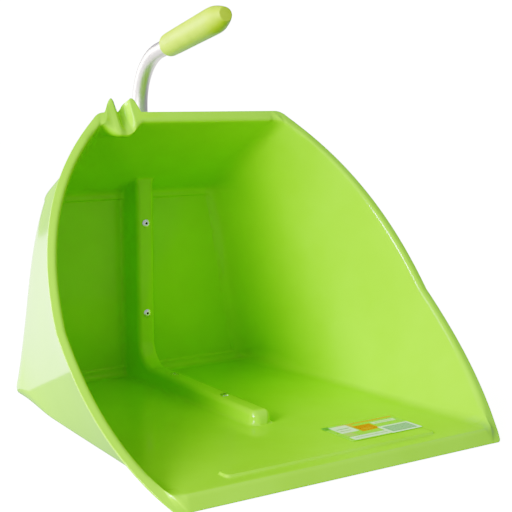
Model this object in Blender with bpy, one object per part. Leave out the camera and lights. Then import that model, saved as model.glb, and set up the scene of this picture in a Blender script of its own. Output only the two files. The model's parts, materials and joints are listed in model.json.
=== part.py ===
# Garden scoop: one moulded pan, a bent tube handle held by four blind rivets,
# a push-on grip, a plug in the hidden tube end and a stick-on label.
# Frame: X across the mouth, -Y out of the mouth, +Z up.  Numbers in mm.
import bpy
import bmesh
import math
import numpy as np
from mathutils import Vector, Matrix

MM = 0.001
ORIGIN = (0.0, 240.0, -0.9)  # shape is laid out from the front edge, placed about its middle

# ---------------------------------------------------------------- pan
LIP_HALF = 200.0            # half width of the front edge
WALL_T = 2.5                # moulded wall
LIP_T = 1.6                 # front edge is thinned
RAMP_Y, RAMP_Z = 9.0, 13.6  # lip ramp behind the front edge
FLOOR_BACK_Z = 1.6          # inner floor level at the back wall
BACK_Y = 477.5              # inner face of the back wall
HOOD_Z = 240.2              # crease between back wall and hood
RIM_TOP = (318.7, 354.2)    # outer top edge of the mouth (y, z)
TOP_FLANGE = 14.0
SIDE_FLANGE = 10.6
FLOOR_HALF_FRONT, FLOOR_HALF_BACK = 196.5, 177.5
BACK_HALF_TOP = 133.3
HOOD_HALF_END = 112.5
# side rim, outer edge: two curves meeting at a kink
RIM_LOW = ((200.0, 0.0, 0.0), (236.3, 60.4, 39.3), (243.8, 114.3, 87.5), (240.6, 171.8, 140.1))
RIM_UP = ((240.6, 171.8, 140.1), (234.1, 239.1, 232.9), (193.7, 283.5, 300.1), (122.3, 318.7, 354.2))
PANEL_HALF_LOW, PANEL_HALF_TOP = 155.5, 109.5   # shallow panel in the back wall
PANEL_STEP = 1.0
BAR_Y0, BAR_Y1, BAR_HALF, BAR_H = 29.5, 47.5, 131.0, 1.6
# L shaped rib that covers the tube
RIB_FRONT_Y = 444.8
RIB_TOP_A, RIB_TOP_B = (249.0, 24.6), (412.8, 23.3)   # rib crest on the floor (y, z)
RIB_END_Y = 164.0
RIB_BEND = 31.7
RIB_HALF = 13.0
RIB_EDGE = 7.0
# broom handle notch in the top rim
NOTCH_X = -91.5
NOTCH_DEPTH = 9.0
EAR_LEFT_X, EAR_RIGHT_X, EAR_H = -102.5, -77.0, 18.5
DIP_X = -96.0
# ---------------------------------------------------------------- handle
TUBE_R, TUBE_WALL = 10.0, 1.5
TUBE_GAP = 0.35
TUBE_END_Y = 180.0
TUBE_TOP_BEND_Z, TUBE_TOP_BEND_R = 359.0, 70.0
GRIP_TILT = 12.4            # degrees above level
GRIP_START_Y, GRIP_LEN = 379.5, 139.0
# ---------------------------------------------------------------- rivets
RIVET_Z = (208.4, 89.8)     # two on the back wall
RIVET_Y = (371.8, 249.4)    # two on the floor
RIVET_HEAD_R, RIVET_HEAD_T = 5.5, 1.35
RIVET_BODY_R, RIVET_BORE_R, MANDREL_R = 2.4, 1.6, 1.38
HOLE_R = 2.65
# ---------------------------------------------------------------- label
LABEL_X0, LABEL_X1, LABEL_Y0, LABEL_Y1, LABEL_T = 40.0, 138.0, 56.0, 115.0, 0.3

for o in list(bpy.data.objects):
    bpy.data.objects.remove(o, do_unlink=True)


# ------------------------------------------------------------ helpers
def lerp(a, b, t):
    return np.asarray(a, float) * (1.0 - t) + np.asarray(b, float) * t


def smooth01(t):
    t = min(1.0, max(0.0, t))
    return t * t * (3.0 - 2.0 * t)


def bezier(p, t):
    p = [np.asarray(q, float) for q in p]
    s = 1.0 - t
    return s ** 3 * p[0] + 3 * s * s * t * p[1] + 3 * s * t * t * p[2] + t ** 3 * p[3]


def quad(a, c, b, t):
    a, c, b = (np.asarray(q, float) for q in (a, c, b))
    return (1 - t) ** 2 * a + 2 * t * (1 - t) * c + t * t * b


def unit(v):
    v = np.asarray(v, float)
    return v / np.linalg.norm(v)


def material(name, rgb, rough, metal=0.0):
    m = bpy.data.materials.new(name)
    m.use_nodes = True
    b = m.node_tree.nodes["Principled BSDF"]
    b.inputs["Base Color"].default_value = (rgb[0], rgb[1], rgb[2], 1.0)
    b.inputs["Roughness"].default_value = rough
    b.inputs["Metallic"].default_value = metal
    m.diffuse_color = (rgb[0], rgb[1], rgb[2], 1.0)
    return m


def add_object(name, verts_mm, faces, mat, smooth=True, sharp=35.0):
    me = bpy.data.meshes.new(name)
    me.from_pydata([tuple((float(c) - o) * MM for c, o in zip(v, ORIGIN)) for v in verts_mm], [], faces)
    me.validate()
    bm = bmesh.new()
    bm.from_mesh(me)
    bmesh.ops.recalc_face_normals(bm, faces=bm.faces)
    bm.to_mesh(me)
    bm.free()
    me.materials.append(mat)
    for p in me.polygons:
        p.use_smooth = smooth
    if smooth:
        me.set_sharp_from_angle(angle=math.radians(sharp))
    ob = bpy.data.objects.new(name, me)
    bpy.context.scene.collection.objects.link(ob)
    return ob


# ------------------------------------------------------------ pan surface
def floor_z(y):
    return RAMP_Z + (FLOOR_BACK_Z - RAMP_Z) * (y - RAMP_Y) / (BACK_Y - RAMP_Y)


def crest_z(y):
    (ya, za), (yb, zb) = RIB_TOP_A, RIB_TOP_B
    return za + (zb - za) * (y - ya) / (yb - ya)


def hood_end():
    d = unit((RIM_TOP[0] - BACK_Y, RIM_TOP[1] - HOOD_Z))
    for _ in range(4):
        n = np.array((d[1], -d[0]))
        e = np.array(RIM_TOP) - TOP_FLANGE * n
        d = unit(e - np.array((BACK_Y, HOOD_Z)))
    return e, d, np.array((d[1], -d[0]))


def rim(u):
    """u 0..1 lower curve, 1..2 upper curve"""
    if u <= 1.0:
        return bezier(RIM_LOW, u)
    return bezier(RIM_UP, u - 1.0)


def rim_dir(u):
    a, b = max(0.0, u - 0.01), min(2.0, u + 0.01)
    return unit(rim(b) - rim(a))


def flange_dir(u):
    t = rim_dir(u)
    o = np.array((1.0, 0.15, 0.0))
    return unit(o - np.dot(o, t) * t)


def wall_terms(y, z):
    a, b = y / 480.0, z / 354.0
    return np.array([a ** i * b ** j for i in range(5) for j in range(5 - i)])


def fit_wall():
    """one smooth side wall x = f(y, z) through the floor edge, the back corner,
    the hood edge and the inner edge of the rim flange"""
    e, hd, hn = hood_end()
    A, B = [], []

    def put(y, z, x, w):
        A.append(wall_terms(y, z) * w)
        B.append(x * w)

    n = 24
    edge = []
    for i in range(n + 1):
        s = i / n
        y = RAMP_Y + (BACK_Y - RAMP_Y) * s
        put(y, floor_z(y), FLOOR_HALF_FRONT + (FLOOR_HALF_BACK - FLOOR_HALF_FRONT) * s, 1.0)
        z = HOOD_Z * s
        put(BACK_Y, z, FLOOR_HALF_BACK + (BACK_HALF_TOP - FLOOR_HALF_BACK) * s, 1.0)
        q = lerp((BACK_Y, HOOD_Z), e, s)
        put(q[0], q[1], BACK_HALF_TOP + (HOOD_HALF_END - BACK_HALF_TOP) * s, 0.8)
    for i in range(2 * n + 1):
        u = 0.12 + (1.93 - 0.12) * i / (2 * n)
        p = rim(u) - SIDE_FLANGE * flange_dir(u)
        edge.append(p)
        put(p[1], p[2], p[0], 2.0)
    for p in edge:
        # level lines back from the rim keep the middle of the wall calm
        z = min(max(p[2], 4.0), 340.0)
        if z <= HOOD_Z:
            yb, xb = BACK_Y, FLOOR_HALF_BACK + (BACK_HALF_TOP - FLOOR_HALF_BACK) * z / HOOD_Z
        else:
            t = (z - HOOD_Z) / (e[1] - HOOD_Z)
            yb, xb = BACK_Y + (e[0] - BACK_Y) * t, BACK_HALF_TOP + (HOOD_HALF_END - BACK_HALF_TOP) * t
        for s in (0.25, 0.5, 0.75):
            put(p[1] + (yb - p[1]) * s, z, p[0] + (xb - p[0]) * s, 0.25)
    return np.linalg.lstsq(np.array(A), np.array(B), rcond=None)[0]


WALL = fit_wall()


def wall_x(y, z):
    return float(np.dot(WALL, wall_terms(y, z)))


def rib_section(h, n_arc):
    """half section of the rib: list of (x, height) from the middle outwards"""
    k = min(1.0, h / 12.0)
    e = RIB_EDGE * k
    foot = RIB_HALF + 0.8 + 0.045 * h
    pts = [(0.0, h), (RIB_HALF - RIB_EDGE, h)]
    for i in range(1, n_arc + 1):
        a = math.radians(90.0 * i / n_arc)
        pts.append((RIB_HALF - RIB_EDGE + RIB_EDGE * math.sin(a), h - e * (1 - math.cos(a))))
    f = min(3.0, 0.25 * h)
    pts.append((foot - 0.4, f))
    pts.append((foot + 0.8, 0.25 * f))
    pts.append((foot + 3.6, 0.0))
    return pts


def make_rows(res):
    """rows run from the front edge to the top rim.
    each row: profile (y, z), inner half width, rim parameter, kind, rib target"""
    rows = []
    e, hd, hn = hood_end()
    u0, u1 = 0.125, 1.94
    fy0 = RAMP_Y + 4.0

    def put(y, z, half, u, kind, front=0.0, top=0.0, panel=0.0, bar=0.0):
        rows.append(dict(p=np.array((y, z)), half=half, u=u, kind=kind,
                         front=front, top=top, panel=panel, bar=bar))

    # ramp and the bend into the floor
    ramp = unit((RAMP_Y, RAMP_Z))
    fl = unit((BACK_Y - RAMP_Y, FLOOR_BACK_Z - RAMP_Z))
    L1 = np.array((RAMP_Y, RAMP_Z))
    n = res["ramp"]
    for i in range(n):
        q = ramp * (np.linalg.norm(L1) - 4.0) * i / n
        put(q[0], q[1], FLOOR_HALF_FRONT, None, "front", front=1.0 - 0.8 * i / n)
    n = res["bend"]
    for i in range(n):
        q = quad(L1 - 4.0 * ramp, L1, L1 + 4.0 * fl, i / n)
        put(q[0], q[1], FLOOR_HALF_FRONT, None, "front", front=0.2 * (1 - i / n) ** 1.0)

    # floor
    def fhalf(y):
        return FLOOR_HALF_FRONT + (FLOOR_HALF_BACK - FLOOR_HALF_FRONT) * (y - fy0) / (BACK_Y - fy0)

    fr = 9.0
    ys = list(res["floor_y"])
    for y in ys:
        put(y, floor_z(y), fhalf(y), u0 + (1.0 - u0) * (y - fy0) / (BACK_Y - fr - fy0), "floor",
            bar=1.0 if BAR_Y0 + 1.0 < y < BAR_Y1 - 1.0 else 0.0)
    n = res["fillet"]
    c0 = np.array((BACK_Y - fr, floor_z(BACK_Y - fr)))
    cc = np.array((BACK_Y, FLOOR_BACK_Z))
    c1 = np.array((BACK_Y, FLOOR_BACK_Z + fr))
    for i in range(n + 1):
        q = quad(c0, cc, c1, i / n)
        put(q[0], q[1], FLOOR_HALF_BACK, 1.0 + 0.02 * i / n, "corner")

    # back wall
    def bhalf(z):
        return FLOOR_HALF_BACK + (BACK_HALF_TOP - FLOOR_HALF_BACK) * z / HOOD_Z

    um = 1.50
    for z, pan in res["back_z"]:
        put(BACK_Y, z, bhalf(z), 1.02 + (um - 1.02) * (z - 11.5) / (HOOD_Z - 11.5), "back", panel=pan)
    # crease
    cr = 10.0
    n = res["crease"]
    a0, ac, a1 = np.array((BACK_Y, HOOD_Z + 3.0 - 0.0)), np.array((BACK_Y, HOOD_Z + cr)), None
    ac = np.array((BACK_Y, HOOD_Z + 9.0))
    a1 = ac + hd * 9.0
    a0 = ac - np.array((0.0, 6.0))
    ehood = e
    hd2 = unit(ehood - ac)
    a1 = ac + hd2 * 9.0
    for i in range(n + 1):
        q = quad(a0, ac, a1, i / n)
        put(q[0], q[1], BACK_HALF_TOP, um + 0.03 * i / n, "crease")
    # hood
    n = res["hood"]
    last = ehood - hd2 * 5.0
    for i in range(1, n + 1):
        s = i / n
        q = lerp(a1, last, s)
        put(q[0], q[1], BACK_HALF_TOP + (HOOD_HALF_END - BACK_HALF_TOP) * s,
            um + 0.03 + (u1 - um - 0.03) * s, "hood")
    # bend and top flange
    hn2 = np.array((hd2[1], -hd2[0]))
    if hn2[1] < 0:
        hn2 = -hn2
    n = res["bend"]
    for i in range(1, n + 1):
        q = quad(last, ehood, ehood + hn2 * 5.0, i / n)
        put(q[0], q[1], HOOD_HALF_END, None, "top", top=0.3 * i / n)
    n = res["flange"]
    end = np.array(RIM_TOP)
    for i in range(1, n + 1):
        q = lerp(ehood + hn2 * 5.0, end, i / n)
        put(q[0], q[1], HOOD_HALF_END, None, "top", top=0.3 + 0.7 * i / n)
    return rows, u0, u1, fy0


def corner_sizes(row):
    """how far the side fillet reaches along the wall and along the middle"""
    y, z = row["p"]
    k = row["kind"]
    if k in ("front", "floor"):
        s = smooth01((y - 330.0) / 130.0)
        return 14.0 + 40.0 * s, 13.0 + 8.0 * s
    if k == "corner":
        return 56.0, 21.0
    if k == "back":
        return 58.0, 22.0
    s = smooth01((RIM_TOP[1] - z) / (RIM_TOP[1] - HOOD_Z))
    return 13.0 + 30.0 * s, 12.0 + 11.0 * s


def rib_target(rows):
    """position of the rib crest for every row, or None where there is no rib"""
    bend_y = RIB_FRONT_Y - RIB_BEND
    bend_z = crest_z(bend_y) + RIB_BEND
    run, total = {}, 0.0
    prev = None
    for i, r in enumerate(rows):
        y, z = r["p"]
        inside = r["kind"] in ("floor", "corner", "back") and (
            (r["kind"] == "floor" and y >= bend_y) or r["kind"] == "corner" or
            (r["kind"] == "back" and z <= bend_z))
        if inside:
            if prev is not None:
                total += float(np.linalg.norm(r["p"] - prev))
            run[i] = total
            prev = r["p"]
    out = []
    e, hd, hn = hood_end()
    for i, r in enumerate(rows):
        y, z = r["p"]
        if i in run:
            a = 0.5 * math.pi * run[i] / total
            out.append(np.array((bend_y + RIB_BEND * math.sin(a), bend_z - RIB_BEND * math.cos(a))))
        elif r["kind"] == "floor" and y > RIB_END_Y:
            out.append(np.array((y, crest_z(y))))
        elif r["kind"] in ("back", "crease", "hood") and y > RIB_FRONT_Y + 0.01:
            out.append(np.array((RIB_FRONT_Y, z)))
        else:
            out.append(None)
    return out


def relax(G, rows, tags_left, tags_right, i_first, i_last, res):
    """smooths the four small corner patches, where floor or hood, wall and flange meet"""
    nr, nc = G.shape[:2]
    nl, nrt = len(tags_left), len(tags_right)
    n_in_l = sum(1 for t in tags_left if t in ("rib", "mid", "edge"))
    n_in_r = sum(1 for t in tags_right if t in ("rib", "mid", "edge"))
    width_l, width_r = nl - n_in_l, nrt - n_in_r
    spans = ((1, i_first + res["relax_rows"]), (i_last - res["relax_rows"] + 1, nr - 1))
    for _ in range(res["relax_steps"]):
        for r0, r1 in spans:
            for c0, c1 in ((1, width_l), (nc - width_r, nc - 1)):
                w = G[r0:r1, c0:c1]
                avg = 0.25 * (G[r0 - 1:r1 - 1, c0:c1] + G[r0 + 1:r1 + 1, c0:c1] +
                              G[r0:r1, c0 - 1:c1 - 1] + G[r0:r1, c0 + 1:c1 + 1])
                G[r0:r1, c0:c1] = 0.5 * w + 0.5 * avg


def pan_grid(res, details=True):
    rows, u0, u1, fy0 = make_rows(res)
    targets = rib_target(rows)
    nrib = res["rib_arc"]
    cols = {}
    grid = []
    info = []
    first = None          # first floor row, the ramp is extruded from it
    start = None
    hood_last = None

    def half_row(row, target, side):
        """points of one half row from the middle outwards, with tags"""
        y, z = row["p"]
        mid = np.array((0.0, y, z))
        J = np.array((wall_x(y, z), y, z))
        So = rim(row["u"])
        Si = So - SIDE_FLANGE * flange_dir(row["u"])
        wall = Si - J
        L = float(np.linalg.norm(wall))
        off_rim = Si[0] - wall_x(Si[1], Si[2])

        def on_wall(s):
            q = J + wall * s
            return np.array((wall_x(q[1], q[2]) + off_rim * s * s, q[1], q[2]))

        dw, dc = corner_sizes(row)
        dw = min(dw, 0.62 * L)
        P1 = on_wall(dw / L)
        P2 = J - np.array((dc, 0.0, 0.0))
        pts, tags = [], []
        # rib
        if target is not None:
            off = target - row["p"]
            h = float(np.linalg.norm(off))
            dirn = off / h if h > 1e-6 else np.array((0.0, 1.0))
            taper = 1.0
            if row["kind"] == "floor":
                d = y - RIB_END_Y
                if d < RIB_HALF:
                    taper = math.sqrt(max(0.0, 1.0 - ((RIB_HALF - d) / RIB_HALF) ** 2))
                    h = h * min(1.0, smooth01(d / 7.0) + 0.0)
            sec = rib_section(max(h, 0.0), nrib)
            for k, (x, f) in enumerate(sec):
                xx = x * max(taper, 0.35) if k < len(sec) - 2 else x * (0.5 + 0.5 * max(taper, 0.35))
                q = row["p"] + dirn * f
                pts.append(np.array((xx, q[0], q[1])))
                tags.append("rib")
        else:
            sec = rib_section(0.0, nrib)
            near = row["kind"] == "floor" and RIB_END_Y - 6.0 < y <= RIB_END_Y
            for k, (x, f) in enumerate(sec):
                sc = (0.35 if k < len(sec) - 2 else 0.675) if near else 1.0
                pts.append(np.array((x * sc, y, z)))
                tags.append("rib")
        x0 = pts[-1][0]
        x1 = P2[0] - 2.2
        for f in res["mid_left"] if side < 0 else res["mid_right"]:
            x = x0 + (x1 - x0) * f
            q = np.array((x, y, z))
            pts.append(q)
            tags.append("mid")
        pts.append(P2.copy())
        tags.append("edge")
        n = res["corner"]
        for i in range(1, n + 1):
            pts.append(quad(P2, J, P1, i / n))
            tags.append("corner")
        # wall up to the flange bend
        bend = min(5.0, 0.3 * (L - dw))
        s0, s1 = dw / L, 1.0 - bend / L
        W1 = on_wall(s1)
        n = res["wall"]
        for i in range(1, n + 1):
            pts.append(on_wall(s0 + (s1 - s0) * i / n))
            tags.append("wall")
        n = res["bend"]
        o = unit(So - Si)
        F1 = Si + o * min(5.0, 0.5 * SIDE_FLANGE)
        for i in range(1, n + 1):
            pts.append(quad(W1, Si, F1, i / n))
            tags.append("flange")
        n = res["flange"]
        for i in range(1, n + 1):
            pts.append(lerp(F1, So, i / n))
            tags.append("flange")
        return pts, tags

    # index of the rows that the ramp and the top flange copy
    i_first = next(i for i, r in enumerate(rows) if r["kind"] == "floor")
    i_last = max(i for i, r in enumerate(rows) if r["kind"] == "hood")
    n_rows = len(rows)
    base = {}
    for i, r in enumerate(rows):
        if r["kind"] in ("front", "top"):
            continue
        base[i] = [half_row(r, targets[i], s) for s in (-1, 1)]

    def edge_half(kind, pts, n_c, n_fl):
        """outline points of one half for the outermost row, turning the rounded corner"""
        n_w = len(pts)
        if kind == "front":
            line_y, line_z, corner, um, rho = 0.0, 0.0, rim(0.0), 0.5 * u0, 5.0
            along = [rim(um * t) for t in np.linspace(0.0, 1.0, 25)]
        else:
            line_y, line_z, corner, um, rho = RIM_TOP[0], RIM_TOP[1], rim(2.0), 2.0 - 0.5 * (2.0 - u1), 9.0
            along = [rim(2.0 + (um - 2.0) * t) for t in np.linspace(0.0, 1.0, 25)]
        start = np.array((pts[n_c - 1][0], line_y, line_z))
        path = [start + (corner - start) * t for t in np.linspace(0.0, 1.0, 25)] + along[1:]
        s = [0.0]
        for p, q in zip(path, path[1:]):
            s.append(s[-1] + float(np.linalg.norm(q - p)))
        s = np.array(s)
        P = np.array(path)

        def at(v):
            return np.array([np.interp(v, s, P[:, c]) for c in range(3)])

        sc, total = s[24], s[-1]
        rho = min(rho, 0.8 * sc, 0.8 * (total - sc))

        def rounded(v):
            if abs(v - sc) < rho:
                return quad(at(sc - rho), corner, at(sc + rho), (v - sc + rho) / (2 * rho))
            return at(v)

        out = []
        n_in = n_w - n_fl - n_c
        for k in range(n_w):
            if k < n_c:
                out.append(np.array((pts[k][0], line_y, line_z)))
            elif k < n_w - n_fl:
                out.append(rounded(sc * (k - n_c + 1) / n_in))
            else:
                out.append(rounded(sc + (total - sc) * (k - (n_w - n_fl) + 1) / n_fl))
        return out

    for i, r in enumerate(rows):
        halves = []
        for s in (0, 1):
            if r["kind"] not in ("front", "top"):
                pts, tags = base[i][s]
                halves.append([q.copy() for q in pts])
                continue
            i_from = i_first if r["kind"] == "front" else i_last
            i_edge = 0 if r["kind"] == "front" else n_rows - 1
            pts, tags = base[i_from][s]
            n_c = sum(1 for t in tags if t in ("rib", "mid", "edge"))
            n_fl = res["bend"] + res["flange"]
            n_w = len(pts)
            edge = edge_half(r["kind"], pts, n_c, n_fl)
            dc = r["p"] - rows[i_from]["p"]
            dt = rows[i_edge]["p"] - rows[i_from]["p"]
            g = float(np.linalg.norm(dc) / np.linalg.norm(dt))
            out = []
            for k, q in enumerate(pts):
                if k < n_c:
                    out.append(q + np.array((0.0, dc[0], dc[1])))
                    continue
                a = min(1.0, (k - n_c + 1) / (n_w - n_fl - n_c))
                a = a * a * (3 - 2 * a)
                flat = np.array((0.0, dt[0], dt[1])) * (1 - a)
                out.append(q + np.array((0.0, dc[0], dc[1])) * (1 - a) + (edge[k] - q - flat) * g)
            halves.append(out)
        left = [np.array((-q[0], q[1], q[2])) for q in halves[0]][::-1]
        right = halves[1][1:]
        grid.append(left + right)
    G = np.array(grid)
    relax(G, rows, base[i_first][0][1], base[i_first][1][1], i_first, i_last, res)
    tags_l = base[i_first][0][1][::-1]
    tags_r = base[i_first][1][1][1:]
    tags = tags_l + tags_r
    return G, rows, tags, targets


def ear_height(x):
    """top outline of the two ears, seen from the front"""
    h = 0.0
    d = x - EAR_LEFT_X
    if -13.0 < d <= 0:
        h = (1.0 - (-d / 13.0) ** 1.5) ** 1.3
    elif 0 < d < 8.0:
        h = (1.0 - (d / 8.0) ** 2) ** 1.1
    d = x - EAR_RIGHT_X
    if -20.0 < d <= 0:
        h = max(h, (1.0 - (-d / 20.0) ** 1.6) ** 1.9)
    elif 0 < d < 8.0:
        h = max(h, 1.0 - (d / 8.0) ** 2.2)
    return EAR_H * h


def notch(G, rows):
    """clip for a tool shaft: a U-shaped recess in the top flange between two ears"""
    e, hd, hn = hood_end()
    out = G.copy()
    up = np.array((0.0, hn[0], hn[1])) if hn[1] > 0 else -np.array((0.0, hn[0], hn[1]))
    back = -np.array((0.0, hd[0], hd[1]))
    for i, r in enumerate(rows):
        if r["kind"] == "hood":
            along = 1.0 - smooth01((float(np.linalg.norm(r["p"] - e)) - 3.0) / 34.0)
            f = 0.0
        elif r["kind"] == "top":
            along, f = 1.0, max(0.0, (r["top"] - 0.15) / 0.85)
        else:
            continue
        for j in range(G.shape[1]):
            x = G[i, j, 0]
            if x > -40 or x < -135:
                continue
            bulge = 1.0 - smooth01((abs(x - DIP_X) - 4.0) / 26.0)
            side = smooth01((x + 102.0) / 10.0) * smooth01((-79.5 - x) / 6.0)
            deep = NOTCH_DEPTH * side * along * smooth01(0.25 + 1.1 * f)
            lift = (ear_height(x) * f ** 1.4 + 4.0 * side * f) - 16.0 * bulge * along * (1.0 - f)
            out[i, j] = G[i, j] + up * lift + back * deep
    return out


def grid_normals(G):
    du = np.zeros_like(G)
    dv = np.zeros_like(G)
    du[:, 1:-1] = G[:, 2:] - G[:, :-2]
    du[:, 0] = G[:, 1] - G[:, 0]
    du[:, -1] = G[:, -1] - G[:, -2]
    dv[1:-1] = G[2:] - G[:-2]
    dv[0] = G[1] - G[0]
    dv[-1] = G[-1] - G[-2]
    # area weighted normals from the quads
    N = np.zeros_like(G)
    q = np.cross(G[1:, 1:] - G[:-1, :-1], G[1:, :-1] - G[:-1, 1:])
    N[:-1, :-1] += q
    N[1:, :-1] += q
    N[:-1, 1:] += q
    N[1:, 1:] += q
    l = np.linalg.norm(N, axis=2, keepdims=True)
    l[l < 1e-12] = 1.0
    return N / l


def pan_mesh(G_in, G_base, rows, name, mat):
    N = grid_normals(G_base)
    # normals point into the pan: check with the middle of the floor
    mid = G_base.shape[1] // 2
    k = next(i for i, r in enumerate(rows) if r["kind"] == "floor" and r["p"][0] > 100)
    if N[k, mid, 2] < 0:
        N = -N
    T = np.full(G_base.shape[:2], WALL_T)
    for i, r in enumerate(rows):
        if r["kind"] == "front":
            T[i, :] = WALL_T + (LIP_T - WALL_T) * r["front"]
    out = G_base - N * T[:, :, None]
    out[:, :, 2] = np.maximum(out[:, :, 2], ORIGIN[2])
    nr, nc = G_in.shape[:2]
    verts = [tuple(v) for v in G_in.reshape(-1, 3)] + [tuple(v) for v in out.reshape(-1, 3)]
    off = nr * nc
    faces = []
    idx = lambda i, j: i * nc + j
    for i in range(nr - 1):
        for j in range(nc - 1):
            faces.append((idx(i, j), idx(i, j + 1), idx(i + 1, j + 1), idx(i + 1, j)))
            faces.append((off + idx(i, j), off + idx(i + 1, j), off + idx(i + 1, j + 1), off + idx(i, j + 1)))
    loop = [idx(0, j) for j in range(nc)] + [idx(i, nc - 1) for i in range(1, nr)] + \
           [idx(nr - 1, j) for j in range(nc - 2, -1, -1)] + [idx(i, 0) for i in range(nr - 2, 0, -1)]
    for a, b in zip(loop, loop[1:] + loop[:1]):
        faces.append((a, off + a, off + b, b))
    return add_object(name, verts, faces, mat)


def apply_details(G, rows, tags):
    """panel recess in the back wall and the raised bar on the floor"""
    out = G.copy()
    for i, r in enumerate(rows):
        for j, t in enumerate(tags):
            if r["panel"] > 0 and t in ("rib", "mid"):
                out[i, j, 1] += PANEL_STEP * r["panel"] * (1.0 if t == "mid" else panel_keep(G, i, j))
            if r["bar"] > 0 and abs(G[i, j, 0]) < BAR_HALF:
                out[i, j, 2] += BAR_H * r["bar"]
    return out


def panel_keep(G, i, j):
    return 1.0 if G[i, j, 1] > BACK_Y - 0.05 else 0.0


RES = dict(
    relax_rows=2, relax_steps=2,
    ramp=2, bend=2, fillet=3, crease=2, hood=6, flange=1, corner=4, wall=4, rib_arc=2,
    floor_y=[13.0, 28.5, 31.0, 46.0, 48.5, 75.0, 110.0, 140.0, 161.0, 164.8, 167.0, 171.0, 177.0,
             205.0, 238.0, 262.0, 300.0, 335.0, 361.0, 384.0, 398.0, 413.5, 428.0, 445.0],
    back_z=[(13.5, 0.0), (16.0, 1.0), (35.0, 1.0), (54.9, 1.0), (78.0, 1.0), (101.0, 1.0), (140.0, 1.0), (172.0, 1.0), (197.0, 1.0),
            (219.0, 1.0), (236.5, 1.0), (239.5, 0.0)],
    mid_left=[0.25, 0.47, 0.56, 0.61, 0.66, 0.70, 0.745, 0.80, 0.87, 0.93, 0.965, 1.0],
    mid_right=[0.4, 0.72, 1.0],
)

green = material("pan_green_plastic", (0.40, 0.72, 0.05), 0.18)
grip_mat = material("grip_soft_green", (0.62, 0.78, 0.28), 0.55)
alu = material("tube_aluminium", (0.80, 0.80, 0.80), 0.30, 1.0)
steel = material("rivet_steel", (0.78, 0.78, 0.78), 0.28, 1.0)
dark = material("mandrel_steel", (0.16, 0.16, 0.17), 0.45, 1.0)
plug_mat = material("plug_black_plastic", (0.05, 0.05, 0.05), 0.5)
label_mat = material("label_paper", (0.86, 0.86, 0.80), 0.6)

G0, rows, tags, targets = pan_grid(RES)
G0 = notch(G0, rows)
G1 = apply_details(G0, rows, tags)
pan = pan_mesh(G1, G0, rows, "pan", green)


# ------------------------------------------------------------ tube path
def tube_path(step_deg, straight):
    """axis of the tube in the middle plane, from the hidden end to the grip end"""
    pts = []
    bend_y = RIB_FRONT_Y - RIB_BEND
    bend_z = crest_z(bend_y) + RIB_BEND
    R = RIB_BEND + WALL_T + TUBE_GAP + TUBE_R
    zf = lambda y: crest_z(y) - WALL_T - TUBE_GAP - TUBE_R
    n = straight
    for i in range(n):
        y = TUBE_END_Y + (bend_y - TUBE_END_Y) * i / n
        pts.append((y, zf(y)))
    steps = max(3, int(round(90.0 / step_deg)))
    for i in range(steps + 1):
        a = math.radians(90.0 * i / steps)
        pts.append((bend_y + R * math.sin(a), bend_z - R * math.cos(a)))
    ty = bend_y + R
    for i in range(1, n + 1):
        pts.append((ty, bend_z + (TUBE_TOP_BEND_Z - bend_z) * i / n))
    turn = 90.0 - GRIP_TILT
    steps = max(3, int(round(turn / step_deg)))
    cy = ty - TUBE_TOP_BEND_R
    for i in range(1, steps + 1):
        a = math.radians(turn * i / steps)
        pts.append((cy + TUBE_TOP_BEND_R * math.cos(a), TUBE_TOP_BEND_Z + TUBE_TOP_BEND_R * math.sin(a)))
    d = np.array((-math.cos(math.radians(GRIP_TILT)), math.sin(math.radians(GRIP_TILT))))
    last = np.array(pts[-1])
    g0 = last + d * ((last[0] - GRIP_START_Y) / math.cos(math.radians(GRIP_TILT)))
    pts.append(tuple(g0))
    end = g0 + d * (GRIP_LEN - 14.0)
    pts.append(tuple(end))
    return [np.array((0.0, p[0], p[1])) for p in pts], np.array((0.0, g0[0], g0[1])), np.array((0.0, d[0], d[1]))


def sweep_tube(name, path, r_out, r_in, seg, mat):
    n = len(path)
    verts, faces = [], []
    for i, p in enumerate(path):
        if i == 0:
            t = path[1] - path[0]
        elif i == n - 1:
            t = path[-1] - path[-2]
        else:
            t = unit(path[i] - path[i - 1]) + unit(path[i + 1] - path[i])
        t = unit(t)
        side = np.array((1.0, 0.0, 0.0))
        up = unit(np.cross(t, side))
        k = 1.0
        if 0 < i < n - 1:
            c = float(np.dot(unit(path[i] - path[i - 1]), t))
            k = 1.0 / max(c, 0.5)
        for r in (r_out, r_in):
            for s in range(seg):
                a = 2 * math.pi * s / seg
                verts.append(p + side * r * math.cos(a) + up * r * math.sin(a) * k)
    ring = 2 * seg
    for i in range(n - 1):
        for s in range(seg):
            t = (s + 1) % seg
            a, b = i * ring, (i + 1) * ring
            faces.append((a + s, a + t, b + t, b + s))
            faces.append((a + seg + s, b + seg + s, b + seg + t, a + seg + t))
    for a in (0, (n - 1) * ring):
        for s in range(seg):
            t = (s + 1) % seg
            faces.append((a + s, a + seg + s, a + seg + t, a + t))
    return add_object(name, verts, faces, mat)


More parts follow.
